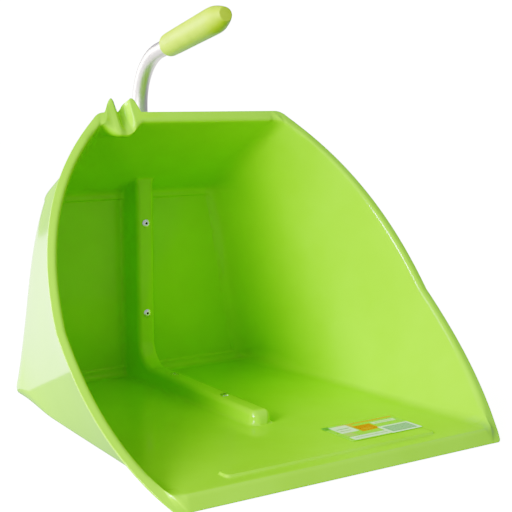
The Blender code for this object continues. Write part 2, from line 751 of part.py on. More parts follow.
def revolve(name, origin, axis, profile, seg, mat, sharp=35.0):
    """profile: list of (r, s) running once round the section; r = 0 at closed ends"""
    axis = unit(axis)
    helper = np.array((1.0, 0.0, 0.0)) if abs(axis[0]) < 0.9 else np.array((0.0, 1.0, 0.0))
    e1 = unit(np.cross(axis, helper))
    e2 = np.cross(axis, e1)
    verts, faces, rings = [], [], []
    closed_loop = profile[0][0] > 1e-9
    for r, s in profile:
        c = np.asarray(origin, float) + axis * s
        if r < 1e-9:
            verts.append(c)
            rings.append([len(verts) - 1])
        else:
            idx = []
            for k in range(seg):
                a = 2 * math.pi * k / seg
                verts.append(c + (e1 * math.cos(a) + e2 * math.sin(a)) * r)
                idx.append(len(verts) - 1)
            rings.append(idx)
    pairs = list(zip(rings, rings[1:]))
    if closed_loop:
        pairs.append((rings[-1], rings[0]))
    for A, B in pairs:
        for k in range(seg):
            m = (k + 1) % seg
            if len(A) == 1:
                faces.append((A[0], B[k], B[m]))
            elif len(B) == 1:
                faces.append((A[k], B[0], A[m]))
            else:
                faces.append((A[k], B[k], B[m], A[m]))
    return add_object(name, verts, faces, mat, sharp=sharp)


path, g0, gd = tube_path(9.0, 2)
tube = sweep_tube("handle_tube", path, TUBE_R, TUBE_R - TUBE_WALL, 28, alu)

# grip: a closed sleeve, thicker towards its free end
bore = TUBE_R + 0.3
L = GRIP_LEN
prof = [(bore, 0.6), (bore + 0.9, 0.0), (12.6, 0.5), (13.9, 2.6), (14.8, 6.5), (15.3, 30.0), (15.7, 66.0),
        (16.2, 100.0), (16.2, 113.0), (15.5, 119.5), (13.6, 126.5), (11.0, 134.0), (8.6, L)]
closed = [(0.0, L - 12.0), (bore - 1.5, L - 12.0), (bore, L - 13.0 + 0.6)]
ring_profile = [(0.0, L)] + list(reversed(prof)) + list(reversed(closed))
grip = revolve("hand_grip", g0, gd, ring_profile, 28, grip_mat, sharp=50.0)

# plug in the hidden lower end of the tube
t0 = path[0]
td = unit(path[0] - path[1])
plug_prof = [(0.0, 4.2), (4.5, 3.9), (7.8, 2.6), (9.4, 0.9), (9.6, 0.15), (TUBE_R - TUBE_WALL - 0.25, 0.15),
             (TUBE_R - TUBE_WALL - 0.25, -10.0), (TUBE_R - TUBE_WALL - 0.9, -11.0), (0.0, -11.0)]
plug = revolve("tube_end_plug", t0, td, plug_prof, 24, plug_mat)


# ------------------------------------------------------------ rivets
def rivet_frame(k):
    if k < 2:
        p = np.array((0.0, RIB_FRONT_Y, RIVET_Z[k]))
        return p, np.array((0.0, -1.0, 0.0))
    y = RIVET_Y[k - 2]
    p = np.array((0.0, y, crest_z(y)))
    slope = (RIB_TOP_B[1] - RIB_TOP_A[1]) / (RIB_TOP_B[0] - RIB_TOP_A[0])
    return p, unit((0.0, -slope, 1.0))


cutters = []
names = ("back_upper", "back_lower", "floor_rear", "floor_front")
for k in range(4):
    p, out = rivet_frame(k)
    gap = 0.12
    grip_len = WALL_T + TUBE_GAP + TUBE_WALL
    prof = [(RIVET_BORE_R, RIVET_HEAD_T + gap - 0.1), (RIVET_BORE_R + 0.35, RIVET_HEAD_T + gap),
            (RIVET_HEAD_R * 0.62, RIVET_HEAD_T + gap - 0.12), (RIVET_HEAD_R * 0.9, 0.62 + gap),
            (RIVET_HEAD_R, 0.3 + gap), (RIVET_HEAD_R, gap), (RIVET_BODY_R, gap),
            (RIVET_BODY_R, -grip_len - 1.3), (3.3, -grip_len - 2.2), (3.5, -grip_len - 3.4),
            (2.7, -grip_len - 4.8), (RIVET_BORE_R, -grip_len - 5.2)]
    revolve("rivet_" + names[k], p, out, prof, 20, steel)
    mp = [(0.0, 0.45), (MANDREL_R - 0.2, 0.45), (MANDREL_R, 0.25), (MANDREL_R, -grip_len - 5.6),
          (2.0, -grip_len - 5.9), (2.2, -grip_len - 6.8), (1.2, -grip_len - 7.8), (0.0, -grip_len - 8.0)]
    revolve("rivet_pin_" + names[k], p, out, mp, 14, dark)
    cyl = revolve("cut_" + names[k], p - out * 7.5, out, [(0.0, 0.0), (HOLE_R, 0.0), (HOLE_R, 12.0), (0.0, 12.0)], 20, dark)
    cyl.hide_render = True
    cyl.display_type = "WIRE"
    cutters.append(cyl)

for target in (pan, tube):
    for c in cutters:
        m = target.modifiers.new("hole_" + c.name, "BOOLEAN")
        m.operation = "DIFFERENCE"
        m.solver = "EXACT"
        m.object = c

# ------------------------------------------------------------ label
def label_top(x, y):
    return floor_z(y) + 0.12


nx, ny = 1, 1
corner_r = 4.0
outline = []
for cx, cy, a0 in ((LABEL_X1 - corner_r, LABEL_Y1 - corner_r, 0.0), (LABEL_X0 + corner_r, LABEL_Y1 - corner_r, 90.0),
                   (LABEL_X0 + corner_r, LABEL_Y0 + corner_r, 180.0), (LABEL_X1 - corner_r, LABEL_Y0 + corner_r, 270.0)):
    for i in range(5):
        a = math.radians(a0 + 90.0 * i / 4)
        outline.append((cx + corner_r * math.cos(a), cy + corner_r * math.sin(a)))
n = len(outline)
verts = [(x, y, label_top(x, y)) for x, y in outline] + [(x, y, label_top(x, y) + LABEL_T) for x, y in outline]
faces = [tuple(range(n))[::-1], tuple(range(n, 2 * n))]
for i in range(n):
    j = (i + 1) % n
    faces.append((i, j, n + j, n + i))
label = add_object("label_sticker", verts, faces, label_mat, smooth=False)
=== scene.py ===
import json
import math

import bmesh
import bpy
import numpy as np
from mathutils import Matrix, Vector

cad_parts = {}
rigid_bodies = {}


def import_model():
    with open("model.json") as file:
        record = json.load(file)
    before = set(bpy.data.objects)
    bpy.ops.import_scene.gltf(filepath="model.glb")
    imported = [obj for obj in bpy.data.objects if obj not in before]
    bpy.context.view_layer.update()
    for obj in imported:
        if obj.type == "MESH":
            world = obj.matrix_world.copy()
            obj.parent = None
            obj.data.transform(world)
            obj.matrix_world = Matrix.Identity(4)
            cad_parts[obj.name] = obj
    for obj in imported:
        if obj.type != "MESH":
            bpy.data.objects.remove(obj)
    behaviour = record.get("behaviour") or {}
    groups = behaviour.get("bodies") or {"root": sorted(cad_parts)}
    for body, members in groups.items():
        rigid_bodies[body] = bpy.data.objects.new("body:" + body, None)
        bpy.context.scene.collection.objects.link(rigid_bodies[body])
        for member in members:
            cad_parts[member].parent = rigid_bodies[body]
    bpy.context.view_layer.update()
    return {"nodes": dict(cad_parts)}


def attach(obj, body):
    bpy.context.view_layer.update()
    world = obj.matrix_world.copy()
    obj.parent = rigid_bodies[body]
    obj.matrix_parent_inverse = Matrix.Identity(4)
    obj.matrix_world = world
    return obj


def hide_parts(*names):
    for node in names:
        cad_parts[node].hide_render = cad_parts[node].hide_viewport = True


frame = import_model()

# ------------------------------------------------------------ dimensions (mm)
MM = 0.001
ORIGIN = (0.0, 240.0, -0.9)  # shape is laid out from the front edge, placed about its middle

# ---------------------------------------------------------------- pan
LIP_HALF = 200.0            # half width of the front edge
WALL_T = 2.5                # moulded wall
LIP_T = 1.6                 # front edge is thinned
RAMP_Y, RAMP_Z = 9.0, 13.6  # lip ramp behind the front edge
FLOOR_BACK_Z = 1.6          # inner floor level at the back wall
BACK_Y = 477.5              # inner face of the back wall
HOOD_Z = 240.2              # crease between back wall and hood
RIM_TOP = (318.7, 354.2)    # outer top edge of the mouth (y, z)
TOP_FLANGE = 14.0
SIDE_FLANGE = 10.6
FLOOR_HALF_FRONT, FLOOR_HALF_BACK = 196.5, 177.5
BACK_HALF_TOP = 133.3
HOOD_HALF_END = 112.5
# side rim, outer edge: two curves meeting at a kink
RIM_LOW = ((200.0, 0.0, 0.0), (236.3, 60.4, 39.3), (243.8, 114.3, 87.5), (240.6, 171.8, 140.1))
RIM_UP = ((240.6, 171.8, 140.1), (234.1, 239.1, 232.9), (193.7, 283.5, 300.1), (122.3, 318.7, 354.2))
PANEL_HALF_LOW, PANEL_HALF_TOP = 155.5, 109.5   # shallow panel in the back wall
PANEL_STEP = 1.0
BAR_Y0, BAR_Y1, BAR_HALF, BAR_H = 29.5, 47.5, 131.0, 1.6
# L shaped rib that covers the tube
RIB_FRONT_Y = 444.8
RIB_TOP_A, RIB_TOP_B = (249.0, 24.6), (412.8, 23.3)   # rib crest on the floor (y, z)
RIB_END_Y = 164.0
RIB_BEND = 31.7
RIB_HALF = 13.0
RIB_EDGE = 7.0
# broom handle notch in the top rim
NOTCH_X = -91.5
NOTCH_DEPTH = 9.0
EAR_LEFT_X, EAR_RIGHT_X, EAR_H = -102.5, -77.0, 18.5
DIP_X = -96.0
# ---------------------------------------------------------------- handle
TUBE_R, TUBE_WALL = 10.0, 1.5
TUBE_GAP = 0.35
TUBE_END_Y = 180.0
TUBE_TOP_BEND_Z, TUBE_TOP_BEND_R = 359.0, 70.0
GRIP_TILT = 12.4            # degrees above level
GRIP_START_Y, GRIP_LEN = 379.5, 139.0
# ---------------------------------------------------------------- rivets
RIVET_Z = (208.4, 89.8)     # two on the back wall
RIVET_Y = (371.8, 249.4)    # two on the floor
RIVET_HEAD_R, RIVET_HEAD_T = 5.5, 1.35
RIVET_BODY_R, RIVET_BORE_R, MANDREL_R = 2.4, 1.6, 1.38
HOLE_R = 2.65
# ---------------------------------------------------------------- label
LABEL_X0, LABEL_X1, LABEL_Y0, LABEL_Y1, LABEL_T = 40.0, 138.0, 56.0, 115.0, 0.3


# ------------------------------------------------------------ helpers
def lerp(a, b, t):
    return np.asarray(a, float) * (1.0 - t) + np.asarray(b, float) * t


def smooth01(t):
    t = min(1.0, max(0.0, t))
    return t * t * (3.0 - 2.0 * t)


def bezier(p, t):
    p = [np.asarray(q, float) for q in p]
    s = 1.0 - t
    return s ** 3 * p[0] + 3 * s * s * t * p[1] + 3 * s * t * t * p[2] + t ** 3 * p[3]


def quad(a, c, b, t):
    a, c, b = (np.asarray(q, float) for q in (a, c, b))
    return (1 - t) ** 2 * a + 2 * t * (1 - t) * c + t * t * b


def unit(v):
    v = np.asarray(v, float)
    return v / np.linalg.norm(v)


def sm(t):
    t = np.clip(t, 0.0, 1.0)
    return t * t * (3.0 - 2.0 * t)


def new_object(name, verts_mm, faces, mats, slots=None, smooth=True, sharp=35.0):
    me = bpy.data.meshes.new(name)
    V = (np.asarray(verts_mm, float) - np.array(ORIGIN)) * MM
    me.from_pydata([tuple(v) for v in V], [], faces)
    me.validate()
    bm = bmesh.new()
    bm.from_mesh(me)
    bmesh.ops.recalc_face_normals(bm, faces=bm.faces)
    bm.to_mesh(me)
    bm.free()
    for m in (mats if isinstance(mats, (list, tuple)) else [mats]):
        me.materials.append(m)
    for i, p in enumerate(me.polygons):
        p.use_smooth = smooth
        if slots is not None:
            p.material_index = slots[i]
    if smooth:
        me.set_sharp_from_angle(angle=math.radians(sharp))
    ob = bpy.data.objects.new(name, me)
    bpy.context.scene.collection.objects.link(ob)
    return ob


# ------------------------------------------------------------ pan surface
def floor_z(y):
    return RAMP_Z + (FLOOR_BACK_Z - RAMP_Z) * (y - RAMP_Y) / (BACK_Y - RAMP_Y)


def crest_z(y):
    (ya, za), (yb, zb) = RIB_TOP_A, RIB_TOP_B
    return za + (zb - za) * (y - ya) / (yb - ya)


def hood_end():
    d = unit((RIM_TOP[0] - BACK_Y, RIM_TOP[1] - HOOD_Z))
    for _ in range(4):
        n = np.array((d[1], -d[0]))
        e = np.array(RIM_TOP) - TOP_FLANGE * n
        d = unit(e - np.array((BACK_Y, HOOD_Z)))
    return e, d, np.array((d[1], -d[0]))


def rim(u):
    """u 0..1 lower curve, 1..2 upper curve"""
    if u <= 1.0:
        return bezier(RIM_LOW, u)
    return bezier(RIM_UP, u - 1.0)


def rim_dir(u):
    a, b = max(0.0, u - 0.01), min(2.0, u + 0.01)
    return unit(rim(b) - rim(a))


def flange_dir(u):
    t = rim_dir(u)
    o = np.array((1.0, 0.15, 0.0))
    return unit(o - np.dot(o, t) * t)


def wall_terms(y, z):
    a, b = y / 480.0, z / 354.0
    return np.array([a ** i * b ** j for i in range(5) for j in range(5 - i)])


def fit_wall():
    """one smooth side wall x = f(y, z) through the floor edge, the back corner,
    the hood edge and the inner edge of the rim flange"""
    e, hd, hn = hood_end()
    A, B = [], []

    def put(y, z, x, w):
        A.append(wall_terms(y, z) * w)
        B.append(x * w)

    n = 24
    edge = []
    for i in range(n + 1):
        s = i / n
        y = RAMP_Y + (BACK_Y - RAMP_Y) * s
        put(y, floor_z(y), FLOOR_HALF_FRONT + (FLOOR_HALF_BACK - FLOOR_HALF_FRONT) * s, 1.0)
        z = HOOD_Z * s
        put(BACK_Y, z, FLOOR_HALF_BACK + (BACK_HALF_TOP - FLOOR_HALF_BACK) * s, 1.0)
        q = lerp((BACK_Y, HOOD_Z), e, s)
        put(q[0], q[1], BACK_HALF_TOP + (HOOD_HALF_END - BACK_HALF_TOP) * s, 0.8)
    for i in range(2 * n + 1):
        u = 0.12 + (1.93 - 0.12) * i / (2 * n)
        p = rim(u) - SIDE_FLANGE * flange_dir(u)
        edge.append(p)
        put(p[1], p[2], p[0], 2.0)
    for p in edge:
        # level lines back from the rim keep the middle of the wall calm
        z = min(max(p[2], 4.0), 340.0)
        if z <= HOOD_Z:
            yb, xb = BACK_Y, FLOOR_HALF_BACK + (BACK_HALF_TOP - FLOOR_HALF_BACK) * z / HOOD_Z
        else:
            t = (z - HOOD_Z) / (e[1] - HOOD_Z)
            yb, xb = BACK_Y + (e[0] - BACK_Y) * t, BACK_HALF_TOP + (HOOD_HALF_END - BACK_HALF_TOP) * t
        for s in (0.25, 0.5, 0.75):
            put(p[1] + (yb - p[1]) * s, z, p[0] + (xb - p[0]) * s, 0.25)
    return np.linalg.lstsq(np.array(A), np.array(B), rcond=None)[0]


WALL = fit_wall()


def wall_x(y, z):
    return float(np.dot(WALL, wall_terms(y, z)))


def rib_section(h, n_arc):
    """half section of the rib: list of (x, height) from the middle outwards"""
    k = min(1.0, h / 12.0)
    e = RIB_EDGE * k
    foot = RIB_HALF + 0.8 + 0.045 * h
    pts = [(0.0, h), (RIB_HALF - RIB_EDGE, h)]
    for i in range(1, n_arc + 1):
        a = math.radians(90.0 * i / n_arc)
        pts.append((RIB_HALF - RIB_EDGE + RIB_EDGE * math.sin(a), h - e * (1 - math.cos(a))))
    f = min(3.0, 0.25 * h)
    pts.append((foot - 0.4, f))
    pts.append((foot + 0.8, 0.25 * f))
    pts.append((foot + 3.6, 0.0))
    return pts


def make_rows(res):
    """rows run from the front edge to the top rim.
    each row: profile (y, z), inner half width, rim parameter, kind, rib target"""
    rows = []
    e, hd, hn = hood_end()
    u0, u1 = 0.125, 1.94
    fy0 = RAMP_Y + 4.0

    def put(y, z, half, u, kind, front=0.0, top=0.0, panel=0.0, bar=0.0):
        rows.append(dict(p=np.array((y, z)), half=half, u=u, kind=kind,
                         front=front, top=top, panel=panel, bar=bar))

    # ramp and the bend into the floor
    ramp = unit((RAMP_Y, RAMP_Z))
    fl = unit((BACK_Y - RAMP_Y, FLOOR_BACK_Z - RAMP_Z))
    L1 = np.array((RAMP_Y, RAMP_Z))
    n = res["ramp"]
    for i in range(n):
        q = ramp * (np.linalg.norm(L1) - 4.0) * i / n
        put(q[0], q[1], FLOOR_HALF_FRONT, None, "front", front=1.0 - 0.8 * i / n)
    n = res["bend"]
    for i in range(n):
        q = quad(L1 - 4.0 * ramp, L1, L1 + 4.0 * fl, i / n)
        put(q[0], q[1], FLOOR_HALF_FRONT, None, "front", front=0.2 * (1 - i / n) ** 1.0)

    # floor
    def fhalf(y):
        return FLOOR_HALF_FRONT + (FLOOR_HALF_BACK - FLOOR_HALF_FRONT) * (y - fy0) / (BACK_Y - fy0)

    fr = 9.0
    ys = list(res["floor_y"])
    for y in ys:
        put(y, floor_z(y), fhalf(y), u0 + (1.0 - u0) * (y - fy0) / (BACK_Y - fr - fy0), "floor",
            bar=1.0 if BAR_Y0 + 1.0 < y < BAR_Y1 - 1.0 else 0.0)
    n = res["fillet"]
    c0 = np.array((BACK_Y - fr, floor_z(BACK_Y - fr)))
    cc = np.array((BACK_Y, FLOOR_BACK_Z))
    c1 = np.array((BACK_Y, FLOOR_BACK_Z + fr))
    for i in range(n + 1):
        q = quad(c0, cc, c1, i / n)
        put(q[0], q[1], FLOOR_HALF_BACK, 1.0 + 0.02 * i / n, "corner")

    # back wall
    def bhalf(z):
        return FLOOR_HALF_BACK + (BACK_HALF_TOP - FLOOR_HALF_BACK) * z / HOOD_Z

    um = 1.50
    for z, pan in res["back_z"]:
        put(BACK_Y, z, bhalf(z), 1.02 + (um - 1.02) * (z - 11.5) / (HOOD_Z - 11.5), "back", panel=pan)
    # crease
    cr = 10.0
    n = res["crease"]
    a0, ac, a1 = np.array((BACK_Y, HOOD_Z + 3.0 - 0.0)), np.array((BACK_Y, HOOD_Z + cr)), None
    ac = np.array((BACK_Y, HOOD_Z + 9.0))
    a1 = ac + hd * 9.0
    a0 = ac - np.array((0.0, 6.0))
    ehood = e
    hd2 = unit(ehood - ac)
    a1 = ac + hd2 * 9.0
    for i in range(n + 1):
        q = quad(a0, ac, a1, i / n)
        put(q[0], q[1], BACK_HALF_TOP, um + 0.03 * i / n, "crease")
    # hood
    n = res["hood"]
    last = ehood - hd2 * 5.0
    for i in range(1, n + 1):
        s = i / n
        q = lerp(a1, last, s)
        put(q[0], q[1], BACK_HALF_TOP + (HOOD_HALF_END - BACK_HALF_TOP) * s,
            um + 0.03 + (u1 - um - 0.03) * s, "hood")
    # bend and top flange
    hn2 = np.array((hd2[1], -hd2[0]))
    if hn2[1] < 0:
        hn2 = -hn2
    n = res["bend"]
    for i in range(1, n + 1):
        q = quad(last, ehood, ehood + hn2 * 5.0, i / n)
        put(q[0], q[1], HOOD_HALF_END, None, "top", top=0.3 * i / n)
    n = res["flange"]
    end = np.array(RIM_TOP)
    for i in range(1, n + 1):
        q = lerp(ehood + hn2 * 5.0, end, i / n)
        put(q[0], q[1], HOOD_HALF_END, None, "top", top=0.3 + 0.7 * i / n)
    return rows, u0, u1, fy0


def corner_sizes(row):
    """how far the side fillet reaches along the wall and along the middle"""
    y, z = row["p"]
    k = row["kind"]
    if k in ("front", "floor"):
        s = smooth01((y - 330.0) / 130.0)
        return 14.0 + 40.0 * s, 13.0 + 8.0 * s
    if k == "corner":
        return 56.0, 21.0
    if k == "back":
        return 58.0, 22.0
    s = smooth01((RIM_TOP[1] - z) / (RIM_TOP[1] - HOOD_Z))
    return 13.0 + 30.0 * s, 12.0 + 11.0 * s


def rib_target(rows):
    """position of the rib crest for every row, or None where there is no rib"""
    bend_y = RIB_FRONT_Y - RIB_BEND
    bend_z = crest_z(bend_y) + RIB_BEND
    run, total = {}, 0.0
    prev = None
    for i, r in enumerate(rows):
        y, z = r["p"]
        inside = r["kind"] in ("floor", "corner", "back") and (
            (r["kind"] == "floor" and y >= bend_y) or r["kind"] == "corner" or
            (r["kind"] == "back" and z <= bend_z))
        if inside:
            if prev is not None:
                total += float(np.linalg.norm(r["p"] - prev))
            run[i] = total
            prev = r["p"]
    out = []
    e, hd, hn = hood_end()
    for i, r in enumerate(rows):
        y, z = r["p"]
        if i in run:
            a = 0.5 * math.pi * run[i] / total
            out.append(np.array((bend_y + RIB_BEND * math.sin(a), bend_z - RIB_BEND * math.cos(a))))
        elif r["kind"] == "floor" and y > RIB_END_Y:
            out.append(np.array((y, crest_z(y))))
        elif r["kind"] in ("back", "crease", "hood") and y > RIB_FRONT_Y + 0.01:
            out.append(np.array((RIB_FRONT_Y, z)))
        else:
            out.append(None)
    return out


def relax(G, rows, tags_left, tags_right, i_first, i_last, res):
    """smooths the four small corner patches, where floor or hood, wall and flange meet"""
    nr, nc = G.shape[:2]
    nl, nrt = len(tags_left), len(tags_right)
    n_in_l = sum(1 for t in tags_left if t in ("rib", "mid", "edge"))
    n_in_r = sum(1 for t in tags_right if t in ("rib", "mid", "edge"))
    width_l, width_r = nl - n_in_l, nrt - n_in_r
    spans = ((1, i_first + res["relax_rows"]), (i_last - res["relax_rows"] + 1, nr - 1))
    for _ in range(res["relax_steps"]):
        for r0, r1 in spans:
            for c0, c1 in ((1, width_l), (nc - width_r, nc - 1)):
                w = G[r0:r1, c0:c1]
                avg = 0.25 * (G[r0 - 1:r1 - 1, c0:c1] + G[r0 + 1:r1 + 1, c0:c1] +
                              G[r0:r1, c0 - 1:c1 - 1] + G[r0:r1, c0 + 1:c1 + 1])
                G[r0:r1, c0:c1] = 0.5 * w + 0.5 * avg


def pan_grid(res, details=True):
    rows, u0, u1, fy0 = make_rows(res)
    targets = rib_target(rows)
    nrib = res["rib_arc"]
    cols = {}
    grid = []
    info = []
    first = None          # first floor row, the ramp is extruded from it
    start = None
    hood_last = None

    def half_row(row, target, side):
        """points of one half row from the middle outwards, with tags"""
        y, z = row["p"]
        mid = np.array((0.0, y, z))
        J = np.array((wall_x(y, z), y, z))
        So = rim(row["u"])
        Si = So - SIDE_FLANGE * flange_dir(row["u"])
        wall = Si - J
        L = float(np.linalg.norm(wall))
        off_rim = Si[0] - wall_x(Si[1], Si[2])

        def on_wall(s):
            q = J + wall * s
            return np.array((wall_x(q[1], q[2]) + off_rim * s * s, q[1], q[2]))

        dw, dc = corner_sizes(row)
        dw = min(dw, 0.62 * L)
        P1 = on_wall(dw / L)
        P2 = J - np.array((dc, 0.0, 0.0))
        pts, tags = [], []
        # rib
        if target is not None:
            off = target - row["p"]
            h = float(np.linalg.norm(off))
            dirn = off / h if h > 1e-6 else np.array((0.0, 1.0))
            taper = 1.0
            if row["kind"] == "floor":
                d = y - RIB_END_Y
                if d < RIB_HALF:
                    taper = math.sqrt(max(0.0, 1.0 - ((RIB_HALF - d) / RIB_HALF) ** 2))
                    h = h * min(1.0, smooth01(d / 7.0) + 0.0)
            sec = rib_section(max(h, 0.0), nrib)
            for k, (x, f) in enumerate(sec):
                xx = x * max(taper, 0.35) if k < len(sec) - 2 else x * (0.5 + 0.5 * max(taper, 0.35))
                q = row["p"] + dirn * f
                pts.append(np.array((xx, q[0], q[1])))
                tags.append("rib")
        else:
            sec = rib_section(0.0, nrib)
            near = row["kind"] == "floor" and RIB_END_Y - 6.0 < y <= RIB_END_Y
            for k, (x, f) in enumerate(sec):
                sc = (0.35 if k < len(sec) - 2 else 0.675) if near else 1.0
                pts.append(np.array((x * sc, y, z)))
                tags.append("rib")
        x0 = pts[-1][0]
        x1 = P2[0] - 2.2
        for f in res["mid_left"] if side < 0 else res["mid_right"]:
            x = x0 + (x1 - x0) * f
            q = np.array((x, y, z))
            pts.append(q)
            tags.append("mid")
        pts.append(P2.copy())
        tags.append("edge")
        n = res["corner"]
        for i in range(1, n + 1):
            pts.append(quad(P2, J, P1, i / n))
            tags.append("corner")
        # wall up to the flange bend
        bend = min(5.0, 0.3 * (L - dw))
        s0, s1 = dw / L, 1.0 - bend / L
        W1 = on_wall(s1)
        n = res["wall"]
        for i in range(1, n + 1):
            pts.append(on_wall(s0 + (s1 - s0) * i / n))
            tags.append("wall")
        n = res["bend"]
        o = unit(So - Si)
        F1 = Si + o * min(5.0, 0.5 * SIDE_FLANGE)
        for i in range(1, n + 1):
            pts.append(quad(W1, Si, F1, i / n))
            tags.append("flange")
        n = res["flange"]
        for i in range(1, n + 1):
            pts.append(lerp(F1, So, i / n))
            tags.append("flange")
        return pts, tags

    # index of the rows that the ramp and the top flange copy
    i_first = next(i for i, r in enumerate(rows) if r["kind"] == "floor")
    i_last = max(i for i, r in enumerate(rows) if r["kind"] == "hood")
    n_rows = len(rows)
    base = {}
    for i, r in enumerate(rows):
        if r["kind"] in ("front", "top"):
            continue
        base[i] = [half_row(r, targets[i], s) for s in (-1, 1)]

    def edge_half(kind, pts, n_c, n_fl):
        """outline points of one half for the outermost row, turning the rounded corner"""
        n_w = len(pts)
        if kind == "front":
            line_y, line_z, corner, um, rho = 0.0, 0.0, rim(0.0), 0.5 * u0, 5.0
            along = [rim(um * t) for t in np.linspace(0.0, 1.0, 25)]
        else:
            line_y, line_z, corner, um, rho = RIM_TOP[0], RIM_TOP[1], rim(2.0), 2.0 - 0.5 * (2.0 - u1), 9.0
            along = [rim(2.0 + (um - 2.0) * t) for t in np.linspace(0.0, 1.0, 25)]
        start = np.array((pts[n_c - 1][0], line_y, line_z))
        path = [start + (corner - start) * t for t in np.linspace(0.0, 1.0, 25)] + along[1:]
        s = [0.0]
        for p, q in zip(path, path[1:]):
            s.append(s[-1] + float(np.linalg.norm(q - p)))
        s = np.array(s)
        P = np.array(path)

        def at(v):
            return np.array([np.interp(v, s, P[:, c]) for c in range(3)])

        sc, total = s[24], s[-1]
        rho = min(rho, 0.8 * sc, 0.8 * (total - sc))

        def rounded(v):
            if abs(v - sc) < rho:
                return quad(at(sc - rho), corner, at(sc + rho), (v - sc + rho) / (2 * rho))
            return at(v)

        out = []
        n_in = n_w - n_fl - n_c
        for k in range(n_w):
            if k < n_c:
                out.append(np.array((pts[k][0], line_y, line_z)))
            elif k < n_w - n_fl:
                out.append(rounded(sc * (k - n_c + 1) / n_in))
            else:
                out.append(rounded(sc + (total - sc) * (k - (n_w - n_fl) + 1) / n_fl))
        return out

    for i, r in enumerate(rows):
        halves = []
        for s in (0, 1):
            if r["kind"] not in ("front", "top"):
                pts, tags = base[i][s]
                halves.append([q.copy() for q in pts])
                continue
            i_from = i_first if r["kind"] == "front" else i_last
            i_edge = 0 if r["kind"] == "front" else n_rows - 1
            pts, tags = base[i_from][s]
            n_c = sum(1 for t in tags if t in ("rib", "mid", "edge"))
            n_fl = res["bend"] + res["flange"]
            n_w = len(pts)
            edge = edge_half(r["kind"], pts, n_c, n_fl)
            dc = r["p"] - rows[i_from]["p"]
            dt = rows[i_edge]["p"] - rows[i_from]["p"]
            g = float(np.linalg.norm(dc) / np.linalg.norm(dt))
            out = []
            for k, q in enumerate(pts):
                if k < n_c:
                    out.append(q + np.array((0.0, dc[0], dc[1])))
                    continue
                a = min(1.0, (k - n_c + 1) / (n_w - n_fl - n_c))
                a = a * a * (3 - 2 * a)
                flat = np.array((0.0, dt[0], dt[1])) * (1 - a)
                out.append(q + np.array((0.0, dc[0], dc[1])) * (1 - a) + (edge[k] - q - flat) * g)
            halves.append(out)
        left = [np.array((-q[0], q[1], q[2])) for q in halves[0]][::-1]
        right = halves[1][1:]
        grid.append(left + right)
    G = np.array(grid)
    relax(G, rows, base[i_first][0][1], base[i_first][1][1], i_first, i_last, res)
    tags_l = base[i_first][0][1][::-1]
    tags_r = base[i_first][1][1][1:]
    tags = tags_l + tags_r
    return G, rows, tags, targets


def grid_normals(G):
    du = np.zeros_like(G)
    dv = np.zeros_like(G)
    du[:, 1:-1] = G[:, 2:] - G[:, :-2]
    du[:, 0] = G[:, 1] - G[:, 0]
    du[:, -1] = G[:, -1] - G[:, -2]
    dv[1:-1] = G[2:] - G[:-2]
    dv[0] = G[1] - G[0]
    dv[-1] = G[-1] - G[-2]
    # area weighted normals from the quads
    N = np.zeros_like(G)
    q = np.cross(G[1:, 1:] - G[:-1, :-1], G[1:, :-1] - G[:-1, 1:])
    N[:-1, :-1] += q
    N[1:, :-1] += q
    N[:-1, 1:] += q
    N[1:, 1:] += q
    l = np.linalg.norm(N, axis=2, keepdims=True)
    l[l < 1e-12] = 1.0
    return N / l


def tube_path(step_deg, straight):
    """axis of the tube in the middle plane, from the hidden end to the grip end"""
    pts = []
    bend_y = RIB_FRONT_Y - RIB_BEND
    bend_z = crest_z(bend_y) + RIB_BEND
    R = RIB_BEND + WALL_T + TUBE_GAP + TUBE_R
    zf = lambda y: crest_z(y) - WALL_T - TUBE_GAP - TUBE_R
    n = straight
    for i in range(n):
        y = TUBE_END_Y + (bend_y - TUBE_END_Y) * i / n
        pts.append((y, zf(y)))
    steps = max(3, int(round(90.0 / step_deg)))
    for i in range(steps + 1):
        a = math.radians(90.0 * i / steps)
        pts.append((bend_y + R * math.sin(a), bend_z - R * math.cos(a)))
    ty = bend_y + R
    for i in range(1, n + 1):
        pts.append((ty, bend_z + (TUBE_TOP_BEND_Z - bend_z) * i / n))
    turn = 90.0 - GRIP_TILT
    steps = max(3, int(round(turn / step_deg)))
    cy = ty - TUBE_TOP_BEND_R
    for i in range(1, steps + 1):
        a = math.radians(turn * i / steps)
        pts.append((cy + TUBE_TOP_BEND_R * math.cos(a), TUBE_TOP_BEND_Z + TUBE_TOP_BEND_R * math.sin(a)))
    d = np.array((-math.cos(math.radians(GRIP_TILT)), math.sin(math.radians(GRIP_TILT))))
    last = np.array(pts[-1])
    g0 = last + d * ((last[0] - GRIP_START_Y) / math.cos(math.radians(GRIP_TILT)))
    pts.append(tuple(g0))
    end = g0 + d * (GRIP_LEN - 14.0)
    pts.append(tuple(end))
    return [np.array((0.0, p[0], p[1])) for p in pts], np.array((0.0, g0[0], g0[1])), np.array((0.0, d[0], d[1]))


def rivet_frame(k):
    if k < 2:
        p = np.array((0.0, RIB_FRONT_Y, RIVET_Z[k]))
        return p, np.array((0.0, -1.0, 0.0))
    y = RIVET_Y[k - 2]
    p = np.array((0.0, y, crest_z(y)))
    slope = (RIB_TOP_B[1] - RIB_TOP_A[1]) / (RIB_TOP_B[0] - RIB_TOP_A[0])
    return p, unit((0.0, -slope, 1.0))



def spread(a, b, n):
    return [a + (b - a) * i / n for i in range(n)]


